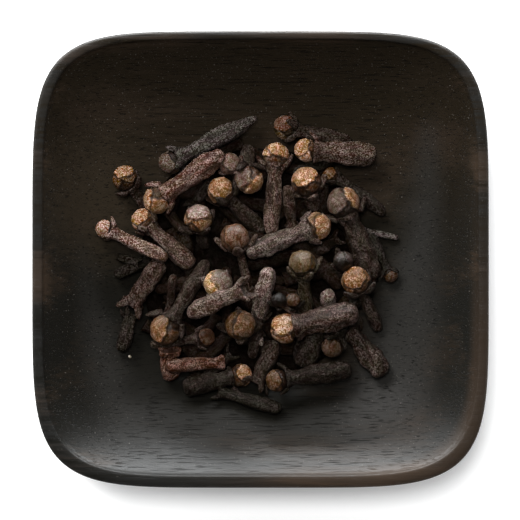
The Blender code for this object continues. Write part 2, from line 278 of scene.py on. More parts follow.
# %% The dish's form
RIM_WIDTH = 1.9 * MM
RIM_ROUNDING = 0.45 * MM
RIM_SHIFT = 0.4 * MM
FLOOR_THICKNESS = 4.8 * MM
FOOT_WIDTH = 47 * MM
FOOT_ROUNDING = 0.8 * MM
WALL_CURVE = 2.9
FLARE_CURVE = 1.3
RIM_SQUARENESS = 5.4
FOOT_SQUARENESS = 3.6
FLOOR_SQUARENESS = 2.0
CORNER_CROWDING = 0.45
LEVEL_ROUNDS = 12
SLOPE_STEP = 0.2 * MM


def squareness(level):
    """How square a level line of the inner wall is, from the middle of the floor, 0, to the rim, 1."""
    return FLOOR_SQUARENESS + (RIM_SQUARENESS - FLOOR_SQUARENESS) * np.clip(level, 0, 1)


def inner_half_width():
    return DISH_WIDTH / 2 - RIM_WIDTH


def inner_height(level):
    depth = RIM_HEIGHT - RIM_ROUNDING - FLOOR_THICKNESS
    return FLOOR_THICKNESS + depth * level**WALL_CURVE


def level_at(x, y):
    """Which level line of the inner wall passes through a place, from 0 in the middle to 1 at the rim."""
    across = np.abs(np.asarray(x, float)) / inner_half_width()
    along = np.abs(np.asarray(y, float) - RIM_SHIFT) / inner_half_width()
    level = np.hypot(across, along)
    for _ in range(LEVEL_ROUNDS):
        square = squareness(level)
        level = (across**square + along**square) ** (1 / square)
    return level


def dish_height(x, y):
    return inner_height(level_at(x, y))


def dish_slope(x, y):
    across = (dish_height(x + SLOPE_STEP, y) - dish_height(x - SLOPE_STEP, y)) / (2 * SLOPE_STEP)
    along = (dish_height(x, y + SLOPE_STEP) - dish_height(x, y - SLOPE_STEP)) / (2 * SLOPE_STEP)
    return np.hypot(across, along)


print("floor of the dish in mm:", round(float(dish_height(0, 0)) / MM, 1))


# %% [markdown]
# ## Meshes from grids
#
# The dish, a stem and a bud are all made alike: rings of points, joined to the next ring. A batch
# collects such shapes into one mesh, and keeps a few values at each point for the materials: its place
# on its own clove, its clove's colour, and how much painted shade it takes in folds and hollows. One
# mesh for each kind keeps the scene light, and the values at the points let each clove differ all the same.


# %% A batch of shapes
class Batch:
    """Shapes that become one mesh."""

    def __init__(self):
        self.points, self.faces, self.count = [], [], 0
        self.place, self.tint, self.fold_shade = [], [], []

    def add(self, rings, place=None, tint=(1, 1, 1, 1), fold_shade=0.0):
        """Adds a closed shape through rings, given as an array of rings by points by xyz."""
        rows, sides = rings.shape[:2]
        total = rows * sides
        index = np.arange(total).reshape(rows, sides) + self.count
        after = np.roll(index, -1, axis=1)
        walls = np.stack((index[:-1], after[:-1], after[1:], index[1:]), axis=-1)
        self.points.append(rings.reshape(total, 3))
        self.faces += walls.reshape(-1, 4).tolist()
        self.faces += [index[0][::-1].tolist(), index[-1].tolist()]
        place = rings / MM if place is None else place
        self.place.append(np.reshape(place, (total, 3)))
        self.tint.append(np.broadcast_to(tint, (rows, sides, 4)).reshape(total, 4))
        self.fold_shade.append(np.broadcast_to(fold_shade, (rows, sides)).reshape(total))
        self.count += total

    def build(self, name, material, slot):
        """Makes the mesh and its object, which rides on the one body."""
        mesh = bpy.data.meshes.new(name)
        mesh.from_pydata(np.concatenate(self.points).tolist(), [], self.faces)
        # The last layer holds painted shade, for points in folds, hollow tops and petal seams.
        layers = (
            ("place", "FLOAT_VECTOR", "vector", self.place),
            ("tint", "FLOAT_COLOR", "color", self.tint),
            ("fold_shade", "FLOAT", "value", self.fold_shade),
        )
        for layer, kind, field, values in layers:
            data = mesh.attributes.new(layer, kind, "POINT").data
            data.foreach_set(field, np.concatenate(values).astype(np.float32).ravel())
        mesh.shade_smooth()
        mesh.materials.append(material)
        piece = bpy.data.objects.new(name, mesh)
        scene.collection.objects.link(piece)
        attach(piece, "root")
        mesh.calc_loop_triangles()
        print(name, "triangles:", len(mesh.loop_triangles))
        return piece


# %% [markdown]
# ## The wood
#
# The dish is stained nearly black. Its grain runs across the photograph: fine brown lines, and short
# pores that the stain left darker still. A picture of wood could be laid over it, but a noise pattern
# that is squeezed in one direction gives such lines at any size. The stain comes first. It is browner on
# the far half and thinner at one place left of the heap, and a grey sheen is painted over the near floor.

# %% Stain
WOOD_DARK = on_screen(20, 19, 16)
WOOD_OLIVE = on_screen(28, 23, 16)
WOOD_BROWN = on_screen(37, 30, 23)
WOOD_PALE = on_screen(40, 34, 26)
WOOD_PAINTED_SHEEN = on_screen(37, 36, 34)
BROWN_STEP, BROWN_LINES = (0.66, 0.92), 0.35
OLIVE_STEP = (-10 * MM, 28 * MM)
PALE_PLACE = (-29 * MM, 11 * MM)
PALE_REACH = (13 * MM, 17 * MM)
PALE_STEP = (0.0, 1.2)
SHEEN_REACH = 26 * MM
SHEEN_SHIFT = 3 * MM
SHEEN_NEARNESS = 0.6
SHEEN_STEP = (0.9, 1.5)
SHEEN_HEIGHTS = (10 * MM, 15 * MM)


def stain_and_sheen(across, along, height, broad, lines):
    """The stain, and a grey sheen painted on the near floor, from a place on the dish and two grain
    patterns.
    """
    brown = step_up(broad + lines * BROWN_LINES, *BROWN_STEP)
    far = step_up(along, *OLIVE_STEP)
    colour = mix(brown, mix(far, WOOD_DARK, WOOD_OLIVE), WOOD_BROWN)
    aside = (across - PALE_PLACE[0]) * (1 / PALE_REACH[0])
    ahead = (along - PALE_PLACE[1]) * (1 / PALE_REACH[1])
    pale = step_up(1 - aside * aside - ahead * ahead + (lines - NOISE_MIDDLE), *PALE_STEP)
    colour = mix(pale, colour, WOOD_PALE)
    # A grey sheen painted on the near floor and its lower wall, standing for reflected light.
    sideways = (across + SHEEN_SHIFT) * (1 / SHEEN_REACH)
    beside = sideways * sideways - along * (SHEEN_NEARNESS / SHEEN_REACH) + (broad - NOISE_MIDDLE)
    level = 1 - step_up(height, *SHEEN_HEIGHTS)
    return mix(step_up(beside, *SHEEN_STEP) * level, colour, WOOD_PAINTED_SHEEN)


print("stain at its darkest:", [round(part, 4) for part in WOOD_DARK[:3]])

# %% [markdown]
# The rim is touched most, so it is worn a little greyer along its grain, and the bare wood shows brown
# through its edge, most of all towards the near right corner. Both follow the height above the table.

# %% Wear on the rim
WOOD_WORN = on_screen(29, 29, 28)
WOOD_EDGE = on_screen(56, 44, 34)
WORN_STEP = (RIM_HEIGHT - 0.7 * MM, RIM_HEIGHT - 0.05 * MM)
WORN_LINES, WORN_BROAD = (0.55, 0.95), 0.5
EDGE_STEP = (RIM_HEIGHT - 2.4 * MM, RIM_HEIGHT - 0.6 * MM)
EDGE_LINES, EDGE_FINE, EDGE_SHARE = (0.64, 0.82), 0.3, 0.5
NEAR_RIGHT = (20 * MM, 64 * MM)


def worn_rim(colour, across, along, height, broad, lines):
    """A colour with the wear of the rim over it."""
    worn = step_up(height, *WORN_STEP)
    colour = mix(worn * step_up(lines + broad * WORN_BROAD, *WORN_LINES), colour, WOOD_WORN)
    near_right = step_up(across - along, *NEAR_RIGHT)
    browner = (step_up(broad + lines * EDGE_FINE, *EDGE_LINES) + near_right) * EDGE_SHARE
    return mix(step_up(height, *EDGE_STEP) * browner, colour, WOOD_EDGE)


print("wear from", round(EDGE_STEP[0] / MM, 1), "mm up")

# %% [markdown]
# The finish joins these with the pores, which are pressed in by a Bump node and are less glossy, and
# with pale dust from the cloves on the wall. Each pattern has its own count of waves per metre, across,
# along and upwards: a low count across draws it out into a line.

# %% Wood
WOOD_PORE = on_screen(8, 7, 6)
WOOD_DUST = on_screen(110, 106, 100)
BROAD_WAVES = (22, 70, 70)
LINE_WAVES = (60, 1500, 700)
SHORT_WAVES = (330, 4200, 2200)
LONG_WAVES = (120, 5000, 2600)
SPECK_WAVES = (3400, 3400, 3400)
SHORT_STEP = (0.61, 0.68)
LONG_STEP = (0.64, 0.70)
PORE_SHARE = 0.65
DUST_LEVEL = (6 * MM, 12 * MM)
DUST_UNEVEN = 30 * MM
SPECK_STEP = (0.69, 0.79)
DUST_SHARE = 0.45
WOOD_ROUGHNESS, PORE_DULL, LINE_DULL = 0.36, 0.2, 0.08
WOOD_SHINE = 0.4
PORE_DEPTH, LINE_RELIEF, WOOD_RELIEF = 0.05 * MM, 0.5, 0.35


def make_wood():
    material, tree, inputs = new_finish("dark_stained_wood")
    place = add_node(tree, "ShaderNodeTexCoord", output=3)
    parts = [add_node(tree, "ShaderNodeSeparateXYZ", None, {0: place}, i) for i in range(3)]
    broad = clouds(place, BROAD_WAVES, detail=2.0)
    lines = clouds(place, LINE_WAVES, detail=3.0, rough=0.6)
    colour = stain_and_sheen(*parts, broad, lines)
    short = clouds(place, SHORT_WAVES, detail=1.0)
    long = clouds(place, LONG_WAVES, detail=1.0)
    pore = step_up(short, *SHORT_STEP) + step_up(long, *LONG_STEP)
    colour = mix(pore * PORE_SHARE, colour, WOOD_PORE)
    specks = clouds(place, SPECK_WAVES, detail=1.0)
    dusty = step_up(parts[2] + (broad - NOISE_MIDDLE) * DUST_UNEVEN, *DUST_LEVEL)
    colour = mix(dusty * step_up(specks, *SPECK_STEP) * DUST_SHARE, colour, WOOD_DUST)
    feed(inputs["Base Color"], worn_rim(colour, *parts, broad, lines))
    feed(inputs["Roughness"], WOOD_ROUGHNESS + pore * PORE_DULL + lines * LINE_DULL)
    feed(inputs["Specular IOR Level"], WOOD_SHINE)
    height = lines * LINE_RELIEF - pore
    values = {"Height": height, "Strength": WOOD_RELIEF, "Distance": PORE_DEPTH}
    feed(inputs["Normal"], add_node(tree, "ShaderNodeBump", None, values))
    return material


dark_wood = make_wood()
print("wood:", dark_wood.name)

# %% [markdown]
# The rim is rounded over, with a slant at its outer edge, so that light runs along the side of it that
# faces the window. The profile tells how far inwards each line of the rim lies, as a share of its width,
# and how high, as a share of its rounding. The rings go up the flared outside, over the rim, and down
# the inner wall.

# %% The dish
DISH_SIDES = 256
OUTER_RINGS = 18
INNER_RINGS = 64
EDGE_RINGS = 6
RING_CROWDING = 0.8
FIRST_RING = 0.1 * MM
RIM_PROFILE = (
    (0.03, 0.18), (0.08, 0.38), (0.14, 0.57), (0.20, 0.74), (0.27, 0.87), (0.36, 0.96),
    (0.5, 1.0), (0.66, 1.0), (0.80, 0.94), (0.90, 0.78), (0.96, 0.5),
)


def square_ring(half_width, square, z, shift=0.0):
    """A rounded square of points at height z, crowded a little at its corners."""
    turn = math.tau * np.arange(DISH_SIDES) / DISH_SIDES
    angle = turn + CORNER_CROWDING / 4 * np.sin(4 * turn)
    across, along = np.cos(angle), np.sin(angle)
    radius = half_width / (np.abs(across) ** square + np.abs(along) ** square) ** (1 / square)
    return np.stack((radius * across, radius * along + shift, np.full(DISH_SIDES, z)), axis=-1)


def dish_rings():
    half, inner, foot = DISH_WIDTH / 2, inner_half_width(), FOOT_WIDTH / 2
    low = RIM_HEIGHT - RIM_ROUNDING
    rings = [square_ring(FIRST_RING, FOOT_SQUARENESS, 0)]
    for i in range(EDGE_RINGS + 1):
        turn = math.pi / 2 * i / EDGE_RINGS
        width = foot - FOOT_ROUNDING * (1 - math.sin(turn))
        rings.append(square_ring(width, FOOT_SQUARENESS, FOOT_ROUNDING * (1 - math.cos(turn))))
    for i in range(1, OUTER_RINGS + 1):
        out = i / OUTER_RINGS
        z = FOOT_ROUNDING + (low - FOOT_ROUNDING) * out**FLARE_CURVE
        square = FOOT_SQUARENESS + (RIM_SQUARENESS - FOOT_SQUARENESS) * out
        rings.append(square_ring(foot + (half - foot) * out, square, z))
    for inwards, rise in RIM_PROFILE:
        width, shift = half - RIM_WIDTH * inwards, RIM_SHIFT * inwards
        rings.append(square_ring(width, RIM_SQUARENESS, low + RIM_ROUNDING * rise, shift))
    for i in range(INNER_RINGS, 0, -1):
        level = (i / INNER_RINGS) ** RING_CROWDING
        rings.append(square_ring(inner * level, squareness(level), inner_height(level), RIM_SHIFT))
    return np.array(rings)


dish_batch = Batch()
dish_batch.add(dish_rings())
dish = dish_batch.build("wooden_dish", dark_wood, "dark_wood")
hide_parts("dish")

# %% [markdown]
# ## How the cloves lie
#
# A heap could be dropped by a simulation, but then no clove would lie where it does in the photograph.
# So each one is written down as it shows: where its head and its foot are, the radius of its bud and the
# width of its stem, in pixels. Its height isn't in the photograph. It comes from a rule: a lying clove
# rests on what was laid before it, and a standing one reaches down between the others. The plain solids
# were laid by the same rule, so the real cloves come where they are, but for a few that are a little
# thicker or turned here, and the red piece at the near left, which is two stems.

# %% The cloves that show
HEAP_MIDDLE = (253, 262)
HEAP_REACH = (27.5 * MM, 28.0 * MM)
HEAP_SQUARENESS = 2.4


class Clove(NamedTuple):
    """A clove as it shows from above, in pixels of the photograph."""

    head: tuple  # the middle of the bud, or of the calyx that lost it
    foot: tuple  # the other end of the stem, as far as it shows
    bud: float  # the bud's radius, 0 where it has fallen off
    stem: float  # the stem's width
    lean: float = 0.0  # degrees that a standing clove is tipped up by; below 0 its foot is on top
    skin: str = "brown"  # the stem's colour
    globe: str = "tan"  # the bud's colour
    cap: str = ""  # the colour of the bud's largest petal, where that differs
    cap_at: tuple = None  # where that petal faces: degrees clockwise from the far side, and upwards
    broken: tuple = ()  # which of its four sepals are short stubs
    roll: float = None  # degrees that it is turned by about its own length
    bow: float = 0.0  # how far its middle lies to the left of a straight line, seen from the foot
    taper: float = 0.0  # how much thicker the foot is than on a plain clove, as a share


CLOVES = (
    # Round the edge, on the dish, where the dark tints also paint the shade they lie in
    Clove((146, 262), (113, 275), 0, 13, skin="black"),
    Clove((137, 263), (115, 256), 0, 10, skin="black"),
    Clove((129, 316), (120, 353), 0, 16, skin="soot"),
    Clove((219, 394), (282, 411), 0, 15, skin="black"),
    Clove((261, 318), (252, 360), 0, 13, skin="dark"),
    Clove((192, 205), (212, 180), 0, 14, skin="soot"),
    Clove((318, 331), (301, 368), 0, 27, skin="soot"),
    Clove((352, 333), (386, 376), 0, 23, skin="coffee"),
    Clove((362, 229), (400, 238), 0, 7.5, skin="ash"),
    Clove((392, 275), (372, 233), 7.5, 11, skin="black", globe="cocoa"),
    Clove((204, 339), (149, 346), 10, 12, skin="coffee", globe="rust", cap_at=(60, 60), roll=0,
          broken=(1,)),
    Clove((229, 357), (203, 377), 0, 14, skin="soot"),
    Clove((293, 226), (288, 186), 0, 14, skin="umber"),
    Clove((352, 150), (294, 174), 0, 15, skin="black"),
    Clove((286, 126), (352, 141), 12, 16, skin="dark", globe="olive", cap="rosy", cap_at=(335, 50)),
    Clove((332, 175), (387, 214), 8.5, 14, skin="soot", globe="amber", bow=-2),
    Clove((170, 161), (257, 116), 12, 22, skin="ash", globe="grey", taper=-0.65),
    Clove((333, 347), (348, 318), 11, 13, 15, skin="black", globe="cocoa"),
    Clove((336, 240), (318, 252), 0, 13, skin="dark"),
    # Standing among the others
    Clove((229, 163), (241, 178), 10.5, 12, 60, globe="mauve"),
    Clove((344, 261), (340, 290), 10, 12, 65, skin="dark", globe="slate", cap="black", cap_at=(180, 30)),
    Clove((330, 308), (328, 293), 0, 15, -60, skin="pale"),
    Clove((279, 301), (283, 318), 8, 11, 55, skin="black", globe="black"),
    Clove((293, 301), (297, 322), 8, 11, 42, skin="black", globe="cocoa"),
    Clove((169, 304), (173, 275), 0, 10, -50, skin="umber"),
    Clove((218, 284), (212, 310), 14, 14, 58, skin="grey", globe="cream", cap="grey", cap_at=(50, 38)),
    Clove((240, 325), (247, 345), 15, 14, 65, skin="dark", globe="amber"),
    Clove((198, 219), (206, 252), 14, 15, 55, skin="dark", cap="purple", cap_at=(0, 32)),
    Clove((249, 179), (246, 137), 14, 14.5, 38, skin="dark", cap="mauve", cap_at=(300, 42)),
    Clove((235, 238), (247, 280), 14.4, 10, 32, globe="rust"),
    Clove((307, 182), (316, 212), 15, 15, 50, globe="rust", cap="light", cap_at=(335, 44)),
    Clove((303, 264), (306, 307), 13.9, 16, 32, skin="olive", globe="olive"),
    Clove((261, 306), (269, 268), 0, 18, -30, skin="pale"),
    # Lying over them
    Clove((124, 178), (150, 212), 12.8, 15, skin="dark", globe="amber", cap="light", cap_at=(350, 34)),
    Clove((240, 377), (182, 389), 12, 20, skin="soot", cap="light", cap_at=(60, 50),
          roll=0, broken=(1, 2)),
    Clove((169, 351), (169, 381), 0, 22, skin="red", taper=-0.1, broken=(0, 1, 2, 3)),
    Clove((222, 364), (165, 367), 0, 15, skin="red", taper=0.2, broken=(0, 1, 2, 3)),
    Clove((278, 381), (352, 370), 11.5, 20, skin="soot", globe="rust", cap="amber", cap_at=(270, 40),
          roll=0, broken=(1,)),
    Clove((256, 384), (277, 342), 0, 20, skin="dark"),
    Clove((142, 220), (192, 267), 11.7, 19, globe="light", taper=0.25),
    Clove((131, 305), (160, 261), 0, 22, skin="umber"),
    Clove((104, 229), (167, 259), 9.5, 15, skin="pink", globe="pink", cap_at=(300, 50)),
    Clove((221, 190), (265, 231), 13.5, 18, skin="dark", bow=2),
    Clove((276, 155), (271, 235), 13.3, 16.7, globe="bright", roll=0, broken=(1,)),
    Clove((344, 203), (378, 279), 16, 22, skin="coffee", globe="grey", cap="light", cap_at=(58, 10),
          roll=0, broken=(1,)),
    Clove((157, 199), (223, 152), 14, 22, skin="rosy", globe="light", roll=0, broken=(1,)),
    Clove((307, 149), (378, 154), 11.7, 24, globe="bright", roll=0, broken=(1, 2)),
    Clove((317, 226), (246, 254), 14, 20, skin="grey", globe="light", roll=0, broken=(1,)),
    Clove((243, 290), (187, 315), 0, 20),
    Clove((165, 330), (207, 260), 15, 15.5, skin="coffee", globe="amber", cap="tan", cap_at=(285, 32),
          roll=0, broken=(1,)),
    Clove((357, 281), (381, 331), 14.4, 14, skin="dark", globe="orange"),
    Clove((285, 329), (359, 312), 14.5, 27, skin="umber", globe="light", cap_at=(340, 55), roll=0,
          taper=0.1, broken=(1, 2)),
)
print("cloves that show:", len(CLOVES))

# %% [markdown]
# ## The resting rule
#
# A clove is treated as a row of balls. Each ball has a least height, from the dish, the low mound in
# the middle of the heap, and the balls of earlier cloves. The clove then lies along the lowest straight
# line that clears them all, touching on both sides of its weight.

# %% Where the surfaces are
CORE_REACH = 0.84
CORE_RISE = 4.4 * MM
CORE_EDGE = 0.5 * MM
SKIN_RISE = 11.0 * MM
SKIN_EDGE = 3.6 * MM
DISH_GAP = 0.45 * MM
PRESS = 0.35 * MM
TOUCH = 1e-6 * MM


def heap_nearness(x, y, reach=1.0):
    """1 at the heap's middle and 0 at its outline, or at an outline drawn in to a share of its reach."""
    middle = photo_place(HEAP_MIDDLE)
    across = np.abs(x - middle[0]) / (HEAP_REACH[0] * reach)
    along = np.abs(y - middle[1]) / (HEAP_REACH[1] * reach)
    out = (across**HEAP_SQUARENESS + along**HEAP_SQUARENESS) ** (1 / HEAP_SQUARENESS)
    return np.clip(1 - out**2, 0, 1)


def above_dish(x, y, gap):
    return dish_height(x, y) + gap * np.sqrt(1 + dish_slope(x, y) ** 2)


def core_top(x, y):
    """A low mound, on which the lowest cloves lie."""
    mound = FLOOR_THICKNESS + CORE_RISE * heap_nearness(x, y, CORE_REACH)
    return np.maximum(mound, above_dish(x, y, DISH_GAP) + CORE_EDGE)


def skin_height(x, y):
    """Where the middle of a bud comes that stands among the other cloves."""
    near = heap_nearness(x, y)
    return dish_height(x, y) + SKIN_EDGE + (SKIN_RISE - SKIN_EDGE) * near


print("top of the mound in mm:", round(float(core_top(*photo_place(HEAP_MIDDLE))) / MM, 1))

# %% [markdown]
# The balls follow the outline of a stem, and the last one is the bud. Working out where balls touch is
# quick and needs no meshes, and the error is a small part of a stem's width.

# %% A clove as a row of balls
STEM_SHAPE = ((0.0, 0.50), (0.09, 0.83), (0.40, 1.0), (0.84, 0.84))
STEM_STATIONS = (0.03, 0.14, 0.27, 0.40, 0.53, 0.66, 0.80, 0.94)


def stations(clove):
    """Balls that stand for a clove: how far each is from foot (0) to head (1), and its radius."""
    thick = clove.stem * PIXEL / 2
    along = list(STEM_STATIONS)
    radii = [thick * np.interp(share, *zip(*STEM_SHAPE)) for share in STEM_STATIONS]
    if clove.bud:
        along.append(1.0)
        radii.append(clove.bud * PIXEL)
    return np.array(along), np.array(radii)


def balls(clove, foot, head):
    along, radii = stations(clove)
    return foot + (head - foot) * along[:, None], radii


def lowest_heights(places, radii, laid):
    """The least height of each ball, for it to clear the dish, the core and the cloves laid before."""
    x, y = places.T
    least = above_dish(x, y, radii + DISH_GAP)
    over_core = heap_nearness(x, y, CORE_REACH) > 0
    least = np.where(over_core, np.maximum(least, core_top(x, y) + radii - PRESS), least)
    for centres, others in laid:
        apart = ((places[:, None, :] - centres[None, :, :2]) ** 2).sum(axis=2)
        reach = radii[:, None] + others[None, :] - PRESS
        over = np.where(apart < reach**2, np.sqrt(np.maximum(reach**2 - apart, 0)), -1)
        rest = np.where(over >= 0, centres[None, :, 2] + over, 0)
        least = np.maximum(least, rest.max(axis=1))
    return least


print("balls of the first clove:", len(stations(CLOVES[0])[0]))

# %% [markdown]
# A lying clove tries every pair of its balls as the two that it rests on, one on each side of its
# weight, and takes the lowest line that clears all. A standing clove has its bud at the heap's skin, and
# its stem goes down at the angle it is tipped by until it meets the dish.

# %% Lying and standing cloves
BALANCE = 0.55
CLOVE_LENGTH = 14.5 * MM
CLOVE_LEAST = 5 * MM
CLOVE_TRIM = 0.2 * MM


def resting_line(along, least):
    """Heights at the foot and the head of a clove that lies on whatever is highest under it."""
    best = None
    for i, low in enumerate(along):
        for j in range(i + 1, len(along)):
            if not low <= BALANCE <= along[j]:
                continue
            slope = (least[j] - least[i]) / (along[j] - low)
            start = least[i] - slope * low
            if np.all(start + slope * along >= least - TOUCH):
                middle = start + slope * BALANCE
                if best is None or middle < best[0]:
                    best = (middle, start, start + slope)
    return best[1], best[2]


def lie(clove, laid):
    """Ends of a clove that lies on the dish, the core and the cloves laid before it."""
    along, radii = stations(clove)
    head, foot = photo_place(clove.head), photo_place(clove.foot)
    places = foot + (head - foot) * along[:, None]
    low, high = resting_line(along, lowest_heights(places, radii, laid))
    return np.array((*foot, low)), np.array((*head, high))


def stand(clove):
    """Ends of a clove that stands among the others, its stem going down between them."""
    head, foot = photo_place(clove.head), photo_place(clove.foot)
    top, under = (head, foot) if clove.lean > 0 else (foot, head)
    ahead = (under - top) / np.linalg.norm(under - top)
    lean = math.radians(abs(clove.lean))
    down = np.array((*(ahead * math.cos(lean)), -math.sin(lean)))
    high = np.array((*top, skin_height(*top)))
    length = CLOVE_LENGTH
    while length > CLOVE_LEAST:
        low = high + down * length
        if low[2] > dish_height(*low[:2]) + clove.stem * PIXEL:
            break
        length -= CLOVE_TRIM
    return (low, high) if clove.lean > 0 else (high, low)


print("first clove ends in mm:", [np.round(end / MM, 1).tolist() for end in lie(CLOVES[0], [])])

# %% [markdown]
# Under the cloves that show lie others, which are seen only through the gaps. They are dropped at
# random places, and one that would end too high is left out.

# %% Filling the gaps and settling the heap
FILLER_SEED = 11
FILLER_TRIES = 80
FILLER_RISE = 7.4 * MM
FILLER_EDGE = 1.4 * MM
FILLER_WIDTH = (13, 18)
FILLER_LENGTH = (50, 66)
FILLER_REACH = 0.8


def fill(seed, tries):
    """The cloves under those that show, as balls to lie on, and as cloves with their ends."""
    draw = random.Random(seed)
    laid, fillers = [], []
    for _ in range(tries):
        reach = math.sqrt(draw.random()) * FILLER_REACH
        turn, heading = draw.uniform(0, math.tau), draw.uniform(0, math.tau)
        half = draw.uniform(*FILLER_LENGTH) / 2
        width = draw.uniform(*FILLER_WIDTH)
        x = HEAP_MIDDLE[0] + reach * HEAP_REACH[0] / PIXEL * math.cos(turn)
        y = HEAP_MIDDLE[1] + reach * HEAP_REACH[1] / PIXEL * math.sin(turn)
        across, along = half * math.cos(heading), half * math.sin(heading)
        clove = Clove((x + across, y + along), (x - across, y - along), 0, width)
        foot, head = lie(clove, laid)
        centres, radii = balls(clove, foot, head)
        x, y = centres[:, 0], centres[:, 1]
        ceiling = dish_height(x, y) + FILLER_EDGE
        ceiling += (FILLER_RISE - FILLER_EDGE) * heap_nearness(x, y)
        inside = heap_nearness(x, y, FILLER_REACH) > 0
        if np.all(inside) and np.all(centres[:, 2] + radii < ceiling):
            laid.append((centres, radii))
            fillers.append((clove, foot, head))
    return laid, fillers


def settle():
    """Every clove with its foot and head, found in turn from the bottom of the heap to its top."""
    laid, fillers = fill(FILLER_SEED, FILLER_TRIES)
    shown = []
    for clove in CLOVES:
        foot, head = stand(clove) if clove.lean else lie(clove, laid)
        laid.append(balls(clove, foot, head))
        shown.append((clove, foot, head))
    return fillers, shown


fillers, shown = settle()
print("fillers:", len(fillers), "highest head in mm:", round(max(h[2] for _, _, h in shown) / MM, 1))

# %% [markdown]
# ## Colours of the cloves
#
# A dried clove's stem is purple-brown, and some are grey, nearly black or olive. The bud is lighter: tan
# or orange-brown, and dark on an old clove. Each clove takes one of these as its tint. The darkest tints
# also carry painted shade: they go to cloves that lie in shadow round the edge and in the gaps of the heap.

# %% Tints
STEM_COLOURS = {
    "pink": (112, 86, 76),
    "rosy": (96, 69, 59),
    "pale": (110, 92, 85),
    "grey": (88, 73, 67),
    "brown": (77, 59, 51),
    "umber": (61, 45, 38),
    "ash": (62, 55, 52),
    "red": (78, 46, 31),
    "olive": (58, 48, 36),
    "coffee": (53, 42, 36),
    "dark": (46, 36, 30),
    "soot": (37, 30, 25),
    "black": (30, 25, 20),
}
BUD_COLOURS = {
    "bright": (162, 122, 94),
    "light": (142, 106, 80),
    "cream": (160, 126, 92),
    "tan": (126, 91, 64),
    "pink": (146, 114, 100),
    "orange": (124, 84, 51),
    "amber": (84, 58, 36),
    "rust": (74, 48, 31),
    "cocoa": (62, 43, 30),
    "olive": (76, 59, 37),
    "rosy": (82, 54, 41),
    "purple": (116, 95, 88),
    "mauve": (98, 79, 70),
    "grey": (88, 73, 65),
    "slate": (60, 51, 47),
    "black": (20, 15, 12),
}
SKINS = {name: on_screen(*colour) for name, colour in STEM_COLOURS.items()}
GLOBES = {name: on_screen(*colour) for name, colour in BUD_COLOURS.items()}
print("stem colours:", len(SKINS), "bud colours:", len(GLOBES))

# %% [markdown]
# ## A stem
#
# A stem could be sculpted once and copied, but then all would look alike. Here each is a tube of its own,
# whose radius follows the outline of a clove: rounded at the foot, thickest below the middle, drawn in to
# a neck and flared into the calyx, which stays behind the bud. It is slightly four-sided, two sizes of
# noise wrinkle it, and its foot is a little thicker or thinner than the next one's. Where the bud has
# fallen off, the top is a hollow cup. First come the directions and sizes of one clove.

# %% A clove's directions and sizes
NECK = 0.72
CALYX_FLARE = 1.06
CALYX_CUP = 0.84
LYING_ROLL = (30, 60)
STANDING_ROLL = (0, 90)
FOOT_UNEVEN = 0.14
NOISE_REACH = 500


class Lie(NamedTuple):
    """Where a clove lies: its foot, its three directions and its sizes, and its own noise."""

    start: np.ndarray
    axis: np.ndarray
    across: np.ndarray
    up: np.ndarray
    neck: float
    thick: float
    bud: float
    calyx: float
    middle: float
    roll: float
    bow: float
    taper: float
    offset: np.ndarray


def measure(clove, foot, head, draw):
    """A clove's directions and sizes."""
    axis = head - foot
    middle = np.linalg.norm(axis)
    axis = axis / middle
    across = np.cross(axis, (0, 0, 1))
    across /= np.linalg.norm(across)
    up = np.cross(across, axis)
    thick, bud = clove.stem * PIXEL / 2, clove.bud * PIXEL
    calyx = max(thick * CALYX_FLARE, bud * CALYX_CUP)
    if bud:
        calyx = min(calyx, bud)
    turned = draw.uniform(*(STANDING_ROLL if clove.lean > 0 else LYING_ROLL))
    roll = math.radians(turned if clove.roll is None else clove.roll)
    offset = np.array([draw.uniform(0, NOISE_REACH) for _ in range(3)])
    neck = middle - bud * NECK
    taper = clove.taper + FOOT_UNEVEN * math.sin(offset[0])
    sizes = (neck, thick, bud, calyx, middle, roll, clove.bow * PIXEL, taper)
    return Lie(foot, axis, across, up, *sizes, offset)


def to_world(lie_, local):
    """Points from a clove's own directions, (across, up, along), to the dish's."""
    share = np.clip(local[..., 2:] / lie_.middle, 0, 1)
    bend = lie_.across * (-4 * lie_.bow) * share * (1 - share)
    world = lie_.start + bend + local[..., :1] * lie_.across
    return world + local[..., 1:2] * lie_.up + local[..., 2:] * lie_.axis


def rough_over(places, size, offset):
    """Noise from -1 to 1 at each point, for bumps of about a size in mm."""
    flat = (places.reshape(-1, 3) / MM / size + offset).tolist()
    return np.array([noise.noise(point) for point in flat]).reshape(places.shape[:-1])


print("longest clove that shows, in mm:", round(max(np.linalg.norm(h - f) for _, f, h in shown) / MM, 1))

# %% Stems
STEM_PROFILE = (
    (0.0, 0.05), (0.006, 0.30), (0.02, 0.50), (0.05, 0.68), (0.10, 0.82), (0.20, 0.93),
    (0.38, 1.0), (0.58, 0.92), (0.76, 0.76), (0.86, 0.72), (0.94, 0.84), (1.0, 1.0),
)
STEM_CROWDING = 1.15
FLARE_FROM, FLARE_SPAN, FLARE_BEND = 0.80, 0.20, 1.6
FOUR_SIDED = 0.06
FOLD_SIZE, FOLD_DEPTH, FOLD_SHADE, FOLD_DARKEST = 1.3, 0.19, 0.8, 0.5
PEBBLE_SIZE, PEBBLE_DEPTH, PEBBLE_SHIFT = 0.5, 0.085, 7
FOLD_SQUEEZE, PEBBLE_SQUEEZE = (1, 1, 0.6), (1, 1, 0.8)
TOP_RADII = (0.93, 0.78, 0.5, 0.1)
CUP_DEPTHS, CUP_SHADES = (0.1, 0.0, -0.15, -0.2), (0.1, 0.3, 0.6, 0.6)
LID_DEPTHS, LID_SHADES = (0.08, 0.08, 0.08, 0.08), (0.6, 0.9, 1, 1)


